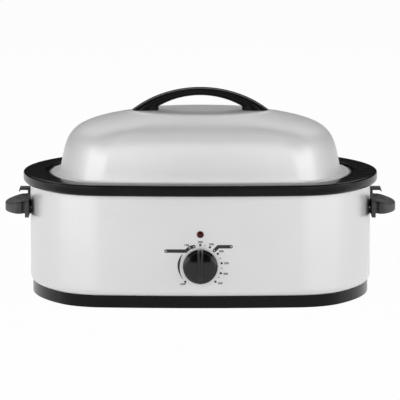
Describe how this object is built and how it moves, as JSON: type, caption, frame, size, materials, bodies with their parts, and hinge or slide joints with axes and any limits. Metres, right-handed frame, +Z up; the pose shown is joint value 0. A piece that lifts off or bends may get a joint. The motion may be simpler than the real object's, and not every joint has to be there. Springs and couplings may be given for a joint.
{
  "type": "electric roaster oven",
  "caption": "Oval countertop roaster: painted body on a black base, rim collar, lift-off domed lid with arched handle, lift-out pan and rack, turning control knob.",
  "frame": {"origin": "middle of the footprint, on the plane the feet stand on", "axes": "+Z up, -Y to the front where the control knob is, +X to the right seen from the front"},
  "size_m": [0.594, 0.436, 0.3118],
  "materials": {
    "painted_shell": "satin silver-white paint on sheet steel",
    "lid_shell": "satin silver-grey paint on sheet steel",
    "black_moulding": "satin black phenolic moulding",
    "zinc_steel": "zinc plated steel",
    "bright_sheet": "bright aluminised sheet",
    "chrome_wire": "bright chrome plated wire",
    "pan_steel": "bright stainless sheet",
    "rubber_foot": "black silicone rubber",
    "glass_wool": "pale glass wool blanket",
    "mica_band": "mica and wire heating band",
    "phenolic": "brown phenolic moulding",
    "brass_tab": "plain brass",
    "red_lens": "clear dark red lens",
    "lamp_glass": "clear lamp glass"
  },
  "bodies": {
    "oven": {"base_tray": "black_moulding", "foot_front_left": "rubber_foot", "foot_front_right": "rubber_foot", "foot_rear_left": "rubber_foot", "foot_rear_right": "rubber_foot", "base_screws": "zinc_steel", "speed_nuts": "zinc_steel", "heat_shield": "bright_sheet", "shield_posts": "zinc_steel", "outer_body": "painted_shell", "rim_collar": "black_moulding", "collar_screws": "zinc_steel", "inner_liner": "bright_sheet", "insulation_blanket": "glass_wool", "heater_band": "mica_band", "heater_straps": "zinc_steel", "heater_terminals": "zinc_steel", "side_handle_left": "black_moulding", "side_handle_right": "black_moulding", "backing_plate_left": "zinc_steel", "backing_plate_right": "zinc_steel", "side_handle_screws_left": "zinc_steel", "side_handle_screws_right": "zinc_steel", "thermostat_case": "phenolic", "thermostat_bushing": "zinc_steel", "thermostat_bracket": "zinc_steel", "thermostat_screws": "zinc_steel", "thermostat_terminals": "brass_tab", "sensor_pad": "bright_sheet", "pilot_lens": "red_lens", "pilot_clip": "zinc_steel", "pilot_lamp": "lamp_glass", "cord_gland": "black_moulding", "gland_nut": "black_moulding", "terminal_block": "phenolic", "terminal_screws": "brass_tab"},
    "pan": {"roasting_pan": "pan_steel"},
    "rack": {"rack_grid": "chrome_wire", "rack_loop_left": "chrome_wire", "rack_loop_right": "chrome_wire"},
    "lid": {"lid_dome": "lid_shell", "lid_handle": "black_moulding", "lid_handle_gaskets": "rubber_foot", "lid_handle_washers": "zinc_steel", "lid_handle_screws": "zinc_steel"},
    "knob": {"control_knob": "black_moulding", "knob_clip": "zinc_steel", "thermostat_shaft": "zinc_steel"}
  },
  "joints": [
    {"name": "pan_lift", "type": "slide", "parent": "oven", "child": "pan", "axis": [0, 0, 1], "range_m": [0, 0.16]},
    {"name": "rack_lift", "type": "slide", "parent": "pan", "child": "rack", "axis": [0, 0, 1], "range_m": [0, 0.13]},
    {"name": "lid_lift", "type": "slide", "parent": "rack", "child": "lid", "axis": [0, 0, 1], "range_m": [0, 0.12]},
    {"name": "knob_turn", "type": "hinge", "parent": "oven", "child": "knob", "pos_m": [0, -0.2, 0.0654], "axis": [0, 1, 0], "range_deg": [-136, 136]}
  ]
}
